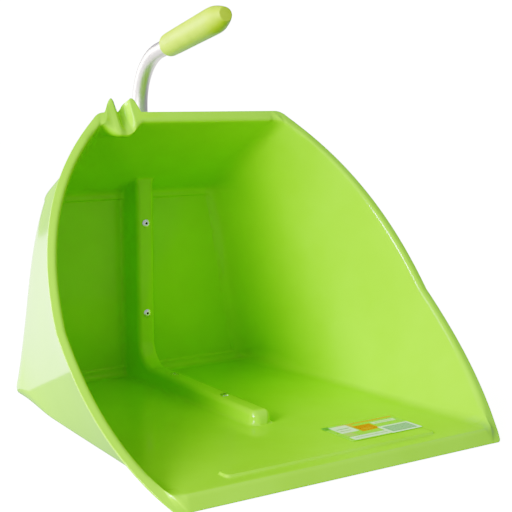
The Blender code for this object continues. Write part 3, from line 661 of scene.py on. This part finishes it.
FINE = dict(
    relax_rows=10, relax_steps=26,
    ramp=8, bend=6, fillet=8, crease=8, hood=40, flange=5, corner=12, wall=34, rib_arc=6,
    floor_y=spread(13.0, 28.0, 6) + spread(28.0, 32.0, 5) + spread(32.0, 45.0, 6) + spread(45.0, 49.0, 5) +
            spread(49.0, 150.0, 24) + spread(150.0, 182.0, 26) + spread(182.0, 366.0, 34) +
            spread(366.0, 378.0, 8) + spread(378.0, 466.0, 26) + [466.0],
    back_z=[(z, 0.0) for z in spread(12.6, 18.0, 7) + spread(18.0, 84.0, 22) + spread(84.0, 96.0, 8) +
            spread(96.0, 202.0, 26) + spread(202.0, 214.0, 8) + spread(214.0, 233.0, 6) + spread(233.0, 240.5, 9) + [240.5]],
    mid_left=sorted([i / 44.0 for i in range(1, 25)] + [0.56 + 0.36 * i / 54 for i in range(54)]) + [0.93, 0.942, 0.954, 0.965, 0.975, 0.985, 1.0],
    mid_right=sorted([i / 44.0 for i in range(1, 25)] + [0.56 + 0.36 * i / 44 for i in range(44)]) + [0.93, 0.942, 0.954, 0.965, 0.975, 0.985, 1.0],
)


def ear_height(x):
    """top outline of the two ears, seen from the front"""
    h = 0.0
    d = x - EAR_LEFT_X
    if -13.0 < d <= 0:
        h = (1.0 - (-d / 13.0) ** 1.5) ** 1.3
    elif 0 < d < 8.0:
        h = (1.0 - (d / 8.0) ** 2) ** 1.1
    d = x - EAR_RIGHT_X
    if -20.0 < d <= 0:
        h = max(h, (1.0 - (-d / 20.0) ** 1.6) ** 1.9)
    elif 0 < d < 8.0:
        h = max(h, 1.0 - (d / 8.0) ** 2.2)
    return EAR_H * h


def notch(G, rows):
    """clip for a tool shaft: a U-shaped recess in the top flange between two ears"""
    e, hd, hn = hood_end()
    out = G.copy()
    up = np.array((0.0, hn[0], hn[1])) if hn[1] > 0 else -np.array((0.0, hn[0], hn[1]))
    back = -np.array((0.0, hd[0], hd[1]))
    for i, r in enumerate(rows):
        if r["kind"] == "hood":
            along = 1.0 - smooth01((float(np.linalg.norm(r["p"] - e)) - 3.0) / 34.0)
            f = 0.0
        elif r["kind"] == "top":
            along, f = 1.0, max(0.0, (r["top"] - 0.15) / 0.85)
        else:
            continue
        for j in range(G.shape[1]):
            x = G[i, j, 0]
            if x > -40 or x < -135:
                continue
            bulge = 1.0 - smooth01((abs(x - DIP_X) - 4.0) / 26.0)
            side = smooth01((x + 102.0) / 10.0) * smooth01((-79.5 - x) / 6.0)
            deep = NOTCH_DEPTH * side * along * smooth01(0.25 + 1.1 * f)
            lift = (ear_height(x) * f ** 1.4 + 4.0 * side * f) - 16.0 * bulge * along * (1.0 - f)
            out[i, j] = G[i, j] + up * lift + back * deep
    return out


def details(G, rows):
    """recessed panel of the back wall and the low raised bar on the floor"""
    out = G.copy()
    for i, r in enumerate(rows):
        if r["kind"] in ("back", "corner", "crease"):
            z = G[i, :, 2]
            x = np.abs(G[i, :, 0])
            edge = r["half"] - 22.0
            onwall = np.abs(G[i, :, 1] - BACK_Y) < 0.35
            m = sm((edge - x) / 1.4) * sm((z - 13.0) / 2.4) * sm((239.6 - z) / 2.6)
            out[i, :, 1] += np.where(onwall, PANEL_STEP * 2.0 * m, 0.0)
        s = r["p"][0] - RIB_END_Y - 0.3
        if r["kind"] == "floor" and 1.0 < s < 14.0:
            # the free end of the rib closes in a dome
            near = np.abs(G[i, :, 0]) < 16.5
            h = out[i, near, 2] - r["p"][1]
            full = (crest_z(r["p"][0]) - r["p"][1]) * (1.0 - (1.0 - s / 14.0) ** 2.2) ** (1 / 2.2)
            if h.max() > 0.8:
                out[i, near, 2] = r["p"][1] + h * full / h.max()
        if r["kind"] == "floor":
            y = G[i, :, 1]
            x = np.abs(G[i, :, 0])
            q0 = np.abs(y - 0.5 * (BAR_Y0 + BAR_Y1)) - (0.5 * (BAR_Y1 - BAR_Y0) - 5.0)
            q1 = x - (BAR_HALF - 5.0)
            sd = np.hypot(np.maximum(q0, 0), np.maximum(q1, 0)) + np.minimum(np.maximum(q0, q1), 0) - 5.0
            out[i, :, 2] += BAR_H * 1.4 * sm((0.8 - sd) / 1.7)
            # hair of room under the sticker
            xs = G[i, :, 0]
            out[i, :, 2] -= 0.2 * sm((xs - LABEL_X0 + 1.0) / 2.0) * sm((LABEL_X1 + 1.0 - xs) / 2.0) \
                * sm((y - LABEL_Y0 + 1.0) / 2.0) * sm((LABEL_Y1 + 1.0 - y) / 2.0)
    return out


def build_pan(mat):
    G0, rows, tags, targets = pan_grid(FINE)
    G0 = notch(G0, rows)
    G1 = details(G0, rows)
    N = grid_normals(G0)
    mid = G0.shape[1] // 2
    k = next(i for i, r in enumerate(rows) if r["kind"] == "floor" and r["p"][0] > 100)
    if N[k, mid, 2] < 0:
        N = -N
    T = np.full(G0.shape[:2], WALL_T)
    for i, r in enumerate(rows):
        if r["kind"] == "front":
            T[i, :] = WALL_T + (LIP_T - WALL_T) * r["front"]
    OUT = G0 - N * T[:, :, None]
    OUT[:, :, 2] = np.maximum(OUT[:, :, 2], ORIGIN[2])
    nr, nc = G0.shape[:2]
    idx = np.arange(nr * nc).reshape(nr, nc)
    off = nr * nc
    # rounded edge: two extra rings between the inner and the outer skin
    loop = [(0, j) for j in range(nc)] + [(i, nc - 1) for i in range(1, nr)] + \
           [(nr - 1, j) for j in range(nc - 2, -1, -1)] + [(i, 0) for i in range(nr - 2, 0, -1)]
    inner = []
    for i, j in loop:
        ii = min(max(i, 1), nr - 2)
        jj = min(max(j, 1), nc - 2)
        inner.append(G1[i, j] - G1[ii, jj])
    D = np.array(inner)
    reach = np.linalg.norm(D, axis=1, keepdims=True)
    D = D / np.maximum(reach, 1e-9)
    inset = np.minimum(0.75, 0.45 * reach)
    for m, (i, j) in enumerate(loop):
        G1[i, j] -= D[m] * inset[m]
        OUT[i, j] -= D[m] * inset[m]
    verts = np.concatenate([G1.reshape(-1, 3), OUT.reshape(-1, 3)])
    faces = []
    for i in range(nr - 1):
        for j in range(nc - 1):
            a, b, c, d = idx[i, j], idx[i, j + 1], idx[i + 1, j + 1], idx[i + 1, j]
            faces.append((int(a), int(b), int(c), int(d)))
            faces.append((int(off + a), int(off + d), int(off + c), int(off + b)))
    n = len(loop)
    P = np.array([G1[i, j] for i, j in loop])
    Q = np.array([OUT[i, j] for i, j in loop])
    rings = []
    for s in (0.06, 0.18, 0.34, 0.5, 0.66, 0.82, 0.94):
        rings.append(P * (1 - s) + Q * s + D * inset * math.sin(math.pi * s) ** 0.6)
    start = len(verts)
    verts = np.concatenate([verts] + rings)
    ids = [[int(idx[i, j]) for i, j in loop]] + [[start + k * n + m for m in range(n)] for k in range(len(rings))] + \
          [[int(off + idx[i, j]) for i, j in loop]]
    for A, B in zip(ids, ids[1:]):
        for m in range(n):
            q = (m + 1) % n
            faces.append((A[m], B[m], B[q], A[q]))
    return new_object("pan_shell", verts, faces, mat, sharp=50.0), G1, rows


# ------------------------------------------------------------ materials
def mat_new(name, rgb, rough, metal=0.0, **sockets):
    m = bpy.data.materials.new(name)
    m.use_nodes = True
    b = m.node_tree.nodes["Principled BSDF"]
    b.inputs["Base Color"].default_value = (*rgb, 1.0)
    b.inputs["Roughness"].default_value = rough
    b.inputs["Metallic"].default_value = metal
    for k, v in sockets.items():
        b.inputs[k.replace("_", " ")].default_value = v
    m.diffuse_color = (*rgb, 1.0)
    return m, m.node_tree, b


def noise(nt, coord, scale, detail=3.0, rough=0.5, dist=0.0):
    n = nt.nodes.new("ShaderNodeTexNoise")
    n.inputs["Scale"].default_value = scale
    n.inputs["Detail"].default_value = detail
    n.inputs["Roughness"].default_value = rough
    n.inputs["Distortion"].default_value = dist
    nt.links.new(coord, n.inputs["Vector"])
    return n


def ramp(nt, src, stops):
    r = nt.nodes.new("ShaderNodeValToRGB")
    el = r.color_ramp.elements
    while len(el) < len(stops):
        el.new(0.5)
    for e, (pos, col) in zip(el, stops):
        e.position = pos
        e.color = (*col, 1.0)
    nt.links.new(src, r.inputs["Fac"])
    return r


def remap(nt, src, a, b, c, d):
    n = nt.nodes.new("ShaderNodeMapRange")
    for k, v in zip(("From Min", "From Max", "To Min", "To Max"), (a, b, c, d)):
        n.inputs[k].default_value = v
    nt.links.new(src, n.inputs["Value"])
    return n.outputs["Result"]


def obj_coord(nt):
    t = nt.nodes.new("ShaderNodeTexCoord")
    return t.outputs["Object"]


GREEN = (0.450, 0.850, 0.100)


def green_plastic():
    m, nt, b = mat_new("pan_green_plastic", GREEN, 0.16)
    b.inputs["IOR"].default_value = 1.49
    b.inputs["Specular IOR Level"].default_value = 0.5
    co = obj_coord(nt)
    n1 = noise(nt, co, 9.0, 3.0, 0.55)
    dark = tuple(c * 0.965 for c in GREEN)
    light = (min(1.0, GREEN[0] * 1.03), min(1.0, GREEN[1] * 1.02), GREEN[2] * 1.1)
    r = ramp(nt, n1.outputs["Fac"], [(0.35, dark), (0.65, light)])
    nt.links.new(r.outputs["Color"], b.inputs["Base Color"])
    # moulded skin: slight waviness, fine scuffs in the gloss
    n2 = noise(nt, co, 28.0, 4.0, 0.6)
    nt.links.new(remap(nt, n2.outputs["Fac"], 0.3, 0.7, 0.09, 0.15), b.inputs["Roughness"])
    n3 = noise(nt, co, 14.0, 2.0, 0.4)
    bump = nt.nodes.new("ShaderNodeBump")
    bump.inputs["Strength"].default_value = 0.06
    bump.inputs["Distance"].default_value = 0.004
    nt.links.new(n3.outputs["Fac"], bump.inputs["Height"])
    nt.links.new(bump.outputs["Normal"], b.inputs["Normal"])
    return m


def soft_grip():
    m, nt, b = mat_new("grip_soft_green", (0.52, 0.68, 0.085), 0.48)
    co = obj_coord(nt)
    n1 = noise(nt, co, 60.0, 3.0, 0.5)
    r = ramp(nt, n1.outputs["Fac"], [(0.3, (0.47, 0.63, 0.07)), (0.7, (0.53, 0.69, 0.09))])
    nt.links.new(r.outputs["Color"], b.inputs["Base Color"])
    n2 = noise(nt, co, 900.0, 2.0, 0.5)
    bump = nt.nodes.new("ShaderNodeBump")
    bump.inputs["Strength"].default_value = 0.12
    bump.inputs["Distance"].default_value = 0.0004
    nt.links.new(n2.outputs["Fac"], bump.inputs["Height"])
    nt.links.new(bump.outputs["Normal"], b.inputs["Normal"])
    return m


def metal(name, rgb, rough, scale):
    m, nt, b = mat_new(name, rgb, rough, 1.0)
    co = obj_coord(nt)
    n1 = noise(nt, co, scale, 3.0, 0.6)
    nt.links.new(remap(nt, n1.outputs["Fac"], 0.3, 0.7, rough * 0.85, rough * 1.2), b.inputs["Roughness"])
    dk = tuple(c * 0.93 for c in rgb)
    r = ramp(nt, n1.outputs["Fac"], [(0.3, dk), (0.7, rgb)])
    nt.links.new(r.outputs["Color"], b.inputs["Base Color"])
    return m


GREEN_MAT = green_plastic()
GRIP_MAT = soft_grip()
ALU_MAT = metal("tube_aluminium", (0.70, 0.66, 0.645), 0.42, 260.0)
RIVET_MAT = metal("rivet_steel", (0.88, 0.88, 0.87), 0.25, 700.0)
PIN_MAT = metal("mandrel_steel", (0.05, 0.05, 0.05), 0.45, 700.0)
PLUG_MAT = mat_new("plug_black_plastic", (0.03, 0.03, 0.032), 0.45)[0]


def math_node(nt, op, a, b):
    n = nt.nodes.new("ShaderNodeMath")
    n.operation = op
    for k, v in enumerate((a, b)):
        if isinstance(v, (int, float)):
            n.inputs[k].default_value = v
        else:
            nt.links.new(v, n.inputs[k])
    return n.outputs[0]


def printed_label():
    """a sheet in the pan's own green with plain blocks of colour and no lettering"""
    m, nt, b = mat_new("label_paper", (0.42, 0.78, 0.12), 0.30)
    sep = nt.nodes.new("ShaderNodeSeparateXYZ")
    nt.links.new(obj_coord(nt), sep.inputs[0])
    X, Y = sep.outputs["X"], sep.outputs["Y"]

    def block(x0, x1, y0, y1, soft=0.5):
        """1 inside the rectangle, layout mm"""
        parts = []
        for src, lo, hi, o in ((X, x0, x1, ORIGIN[0]), (Y, y0, y1, ORIGIN[1])):
            parts.append(remap(nt, src, (lo - o - soft) * MM, (lo - o + soft) * MM, 0.0, 1.0))
            parts.append(remap(nt, src, (hi - o - soft) * MM, (hi - o + soft) * MM, 1.0, 0.0))
        v = parts[0]
        for p in parts[1:]:
            v = math_node(nt, "MULTIPLY", v, p)
        return v

    cur = None
    for (x0, x1, y0, y1), rgb in (
            ((40.0, 138.0, 56.0, 115.0), (0.42, 0.80, 0.12)),
            ((40.0, 50.0, 104.0, 115.0), (0.14, 0.42, 0.08)),
            ((70.0, 136.0, 108.5, 112.5), (0.78, 0.42, 0.06)),
            ((60.0, 78.0, 100.0, 112.0), (0.72, 0.50, 0.10)),
            ((48.0, 71.0, 85.0, 110.0), (0.88, 0.93, 0.78)),
            ((51.0, 68.0, 98.0, 100.5), (0.36, 0.50, 0.22)),
            ((50.0, 66.0, 91.0, 93.0), (0.42, 0.52, 0.22)),
            ((48.0, 60.0, 72.0, 84.0), (0.55, 0.66, 0.20)),
            ((73.0, 97.0, 80.0, 101.0), (0.84, 0.17, 0.02)),
            ((78.0, 90.0, 84.0, 90.0), (0.88, 0.30, 0.06)),
            ((100.0, 132.0, 96.0, 103.0), (0.84, 0.92, 0.66)),
            ((104.0, 128.0, 98.6, 100.2), (0.40, 0.66, 0.22)),
            ((46.0, 95.0, 58.5, 69.5), (0.88, 0.93, 0.80)),
            ((50.0, 94.0, 63.4, 65.4), (0.40, 0.60, 0.24)),
            ((95.0, 137.0, 57.0, 84.0), (0.88, 0.95, 0.84)),
            ((99.0, 133.5, 60.5, 80.5), (0.26, 0.44, 0.24))):
        mask = block(x0, x1, y0, y1)
        mix = nt.nodes.new("ShaderNodeMixRGB")
        nt.links.new(mask, mix.inputs["Fac"])
        if cur is None:
            mix.inputs["Color1"].default_value = (0.42, 0.80, 0.12, 1.0)
        else:
            nt.links.new(cur, mix.inputs["Color1"])
        mix.inputs["Color2"].default_value = (*rgb, 1.0)
        cur = mix.outputs["Color"]
    # plain ruled bars inside the code box
    wave = nt.nodes.new("ShaderNodeTexWave")
    wave.wave_type = "BANDS"
    wave.bands_direction = "X"
    wave.inputs["Scale"].default_value = 95.0
    wave.inputs["Distortion"].default_value = 0.0
    nt.links.new(obj_coord(nt), wave.inputs["Vector"])
    bars = math_node(nt, "MULTIPLY", block(101.0, 131.5, 62.5, 78.5), remap(nt, wave.outputs["Fac"], 0.45, 0.55, 0.0, 0.45))
    mix = nt.nodes.new("ShaderNodeMixRGB")
    nt.links.new(bars, mix.inputs["Fac"])
    nt.links.new(cur, mix.inputs["Color1"])
    mix.inputs["Color2"].default_value = (0.80, 0.88, 0.74, 1.0)
    grain = noise(nt, obj_coord(nt), 420.0, 2.0, 0.5)
    nt.links.new(remap(nt, grain.outputs["Fac"], 0.3, 0.7, 0.26, 0.38), b.inputs["Roughness"])
    nt.links.new(mix.outputs["Color"], b.inputs["Base Color"])
    return m


LABEL_MAT = printed_label()

pan, G1, rows = build_pan(GREEN_MAT)
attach(pan, "root")
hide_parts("pan")

def sweep(name, path, r_out, r_in, seg, mat):
    n = len(path)
    verts, faces = [], []
    side = np.array((1.0, 0.0, 0.0))
    for i, p in enumerate(path):
        t = unit(path[min(i + 1, n - 1)] - path[max(i - 1, 0)])
        up = unit(np.cross(t, side))
        for r in (r_out, r_in):
            for k in range(seg):
                a = 2 * math.pi * k / seg
                verts.append(p + side * r * math.cos(a) + up * r * math.sin(a))
    ring = 2 * seg
    for i in range(n - 1):
        for k in range(seg):
            m = (k + 1) % seg
            a, b = i * ring, (i + 1) * ring
            faces.append((a + k, a + m, b + m, b + k))
            faces.append((a + seg + k, b + seg + k, b + seg + m, a + seg + m))
    for a in (0, (n - 1) * ring):
        for k in range(seg):
            m = (k + 1) % seg
            faces.append((a + k, a + seg + k, a + seg + m, a + m))
    return new_object(name, verts, faces, mat, sharp=40.0)


tube_line, g0, gd = tube_path(2.0, 24)
tube = sweep("tube_drawn", tube_line, TUBE_R, TUBE_R - TUBE_WALL, 64, ALU_MAT)
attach(tube, "root")
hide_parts("handle_tube")

def lathe(name, origin, axis, profile, seg, mat, sharp=60.0):
    axis = unit(axis)
    e1 = unit(np.cross(axis, np.array((1.0, 0.0, 0.0))))
    e2 = np.cross(axis, e1)
    verts, rings, faces = [], [], []
    for r, s in profile:
        c = np.asarray(origin, float) + axis * s
        if r < 1e-9:
            verts.append(c)
            rings.append([len(verts) - 1])
        else:
            rings.append([len(verts) + k for k in range(seg)])
            for k in range(seg):
                a = 2 * math.pi * k / seg
                verts.append(c + (e1 * math.cos(a) + e2 * math.sin(a)) * r)
    for A, B in zip(rings, rings[1:]):
        for k in range(seg):
            m = (k + 1) % seg
            if len(A) == 1:
                faces.append((A[0], B[k], B[m]))
            elif len(B) == 1:
                faces.append((A[k], B[0], A[m]))
            else:
                faces.append((A[k], B[k], B[m], A[m]))
    return new_object(name, verts, faces, mat, sharp=sharp)


def arc(points, steps=6):
    """rounds a profile through its points with short Catmull-Rom pieces"""
    p = [np.array(q, float) for q in points]
    p = [2 * p[0] - p[1]] + p + [2 * p[-1] - p[-2]]
    out = []
    for i in range(1, len(p) - 2):
        for k in range(steps):
            u = k / steps
            out.append(0.5 * (2 * p[i] + (p[i + 1] - p[i - 1]) * u + (2 * p[i - 1] - 5 * p[i] + 4 * p[i + 1] - p[i + 2]) * u * u
                              + (3 * p[i] - p[i - 1] - 3 * p[i + 1] + p[i + 2]) * u ** 3))
    out.append(p[-2])
    return [(max(0.0, float(q[0])), float(q[1])) for q in out]


L = GRIP_LEN
bore = TUBE_R + 0.3
outer = arc([(bore + 0.9, 0.12), (12.5, 0.6), (13.75, 2.7), (14.65, 6.6), (15.15, 30.0), (15.55, 66.0),
             (16.0, 100.0), (16.0, 112.5), (15.3, 119.3), (13.4, 126.4), (10.8, 133.8), (8.4, L - 0.1)], 8)
grip = lathe("grip_drawn", g0, gd,
             [(0.0, L - 12.0), (bore, L - 12.4), (bore, 0.6), (bore + 0.3, 0.15)] + outer + [(7.4, L - 0.02), (0.0, L)],
             72, GRIP_MAT)
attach(grip, "root")
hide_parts("hand_grip")

for node, mat in (("tube_end_plug", PLUG_MAT), ("label_sticker", LABEL_MAT)):
    ob = frame["nodes"][node]
    ob = ob if hasattr(ob, "material_slots") else bpy.data.objects[node]
    for s in ob.material_slots:
        s.material = mat
for k in ("back_upper", "back_lower", "floor_rear", "floor_front"):
    for s in bpy.data.objects["rivet_" + k].material_slots:
        s.material = RIVET_MAT
    for s in bpy.data.objects["rivet_pin_" + k].material_slots:
        s.material = PIN_MAT

# ------------------------------------------------------------ stage
def stage_mesh(name, verts, faces, mat):
    me = bpy.data.meshes.new(name)
    me.from_pydata(verts, [], faces)
    me.materials.append(mat)
    ob = bpy.data.objects.new(name, me)
    bpy.context.scene.collection.objects.link(ob)
    return ob


def glow(name, albedo, strength):
    m, nt, b = mat_new(name, (albedo, albedo, albedo), 0.9)
    b.inputs["Specular IOR Level"].default_value = 0.0
    b.inputs["Emission Color"].default_value = (1.0, 1.0, 1.0, 1.0)
    b.inputs["Emission Strength"].default_value = strength
    return m


def studio():
    s = 9.0
    z = -0.0006
    ground = stage_mesh("studio_floor", [(-s, -s, z), (s, -s, z), (s, s, z), (-s, s, z)], [(0, 1, 2, 3)],
                        glow("studio_floor", 0.85, 2.7))
    ground.visible_diffuse = False
    ground.visible_glossy = False
    # bright sweep beside and behind the object, mirrored by its left flank
    zr = z + 0.0002
    card = stage_mesh("studio_reflector", [(-4.5, -0.16, zr), (-0.242, -0.16, zr), (-0.242, 0.25, zr), (-4.5, 0.25, zr),
                                           (2.0, 0.25, zr), (2.0, 4.5, zr), (-4.5, 4.5, zr)],
                      [(0, 1, 2, 3), (3, 4, 5, 6)], glow("studio_reflector", 0.0, 2.5))
    for flag in ("visible_camera", "visible_diffuse", "visible_transmission", "visible_shadow", "visible_volume_scatter"):
        setattr(card, flag, False)
    verts, faces = [], []
    nu, nv, r = 48, 16, 8.5
    for j in range(nv + 1):
        el = math.radians(-20.0 + 110.0 * j / nv)
        for i in range(nu):
            az = 2 * math.pi * i / nu
            verts.append((r * math.cos(el) * math.cos(az), r * math.cos(el) * math.sin(az), r * math.sin(el)))
    for j in range(nv):
        for i in range(nu):
            k = (i + 1) % nu
            faces.append((j * nu + i, (j + 1) * nu + i, (j + 1) * nu + k, j * nu + k))
    dome = stage_mesh("studio_backdrop", verts, faces, glow("studio_backdrop", 0.0, 3.6))
    for flag in ("visible_diffuse", "visible_glossy", "visible_transmission", "visible_shadow", "visible_volume_scatter"):
        setattr(dome, flag, False)


studio()


def softbox(name, az, el, watts, size=1.3, dist=2.4, color=(1.0, 1.0, 1.0)):
    """az 0 is in front of the mouth, -90 is to its left"""
    a, e = math.radians(az), math.radians(el)
    d = bpy.data.lights.new(name, "AREA")
    d.shape = "DISK"
    d.size = size
    d.energy = watts
    d.color = color
    c = Vector((0.0, 0.0, 0.2))
    o = bpy.data.objects.new(name, d)
    o.location = c + Vector((math.sin(a) * math.cos(e), -math.cos(a) * math.cos(e), math.sin(e))) * dist
    o.rotation_euler = (c - o.location).to_track_quat("-Z", "Y").to_euler()
    bpy.context.scene.collection.objects.link(o)
    return o


softbox("key_left", -68, 14, 86, size=1.05)
softbox("key_left_high", -80, 38, 24)
softbox("rim_back_left", -137, 10, 75, size=1.8)

w = bpy.data.worlds.new("studio")
w.use_nodes = True
w.node_tree.nodes["Background"].inputs["Color"].default_value = (0.97, 1.0, 0.95, 1)
w.node_tree.nodes["Background"].inputs["Strength"].default_value = 0.80
bpy.context.scene.world = w


def response():
    """a soft photographic response: deeper shadows, rounded highlights"""
    vs = bpy.context.scene.view_settings
    vs.view_transform = "Standard"
    vs.use_curve_mapping = True
    cm = vs.curve_mapping
    white = 1.0 / (1.0 - 0.7)
    cm.white_level = (white, white, white)
    c = cm.curves[3]
    pts = []
    for x in (0.004, 0.012, 0.03, 0.06, 0.1, 0.16, 0.24, 0.34, 0.45, 0.56, 0.67, 0.77, 0.86, 0.94):
        pts.append((x ** 0.7 / (1.0 - 0.7 * x) / white, x))
    for p in pts:
        c.points.new(p[0], p[1])
    # blue: a little more contrast than the other two layers
    blue = cm.curves[2]
    for x, y in ((0.007, 0.002), (0.017, 0.0068), (0.032, 0.0235), (0.055, 0.063), (0.08, 0.100), (0.156, 0.185),
                 (0.283, 0.308), (0.578, 0.590)):
        blue.points.new(x, y)
    cm.update()


response()

# ------------------------------------------------------------ camera
cam = bpy.data.cameras.new("camera")
cam.lens = 78.6
cam.sensor_width = 36.0
cam.clip_end = 50.0
co = bpy.data.objects.new("camera", cam)
co.location = ((-659.4 - ORIGIN[0]) * MM, (-843.1 - ORIGIN[1]) * MM, (372.1 - ORIGIN[2]) * MM)
co.rotation_euler = (math.radians(90.0 - 8.16), 0.0, math.radians(-32.76))
bpy.context.scene.collection.objects.link(co)
bpy.context.scene.camera = co
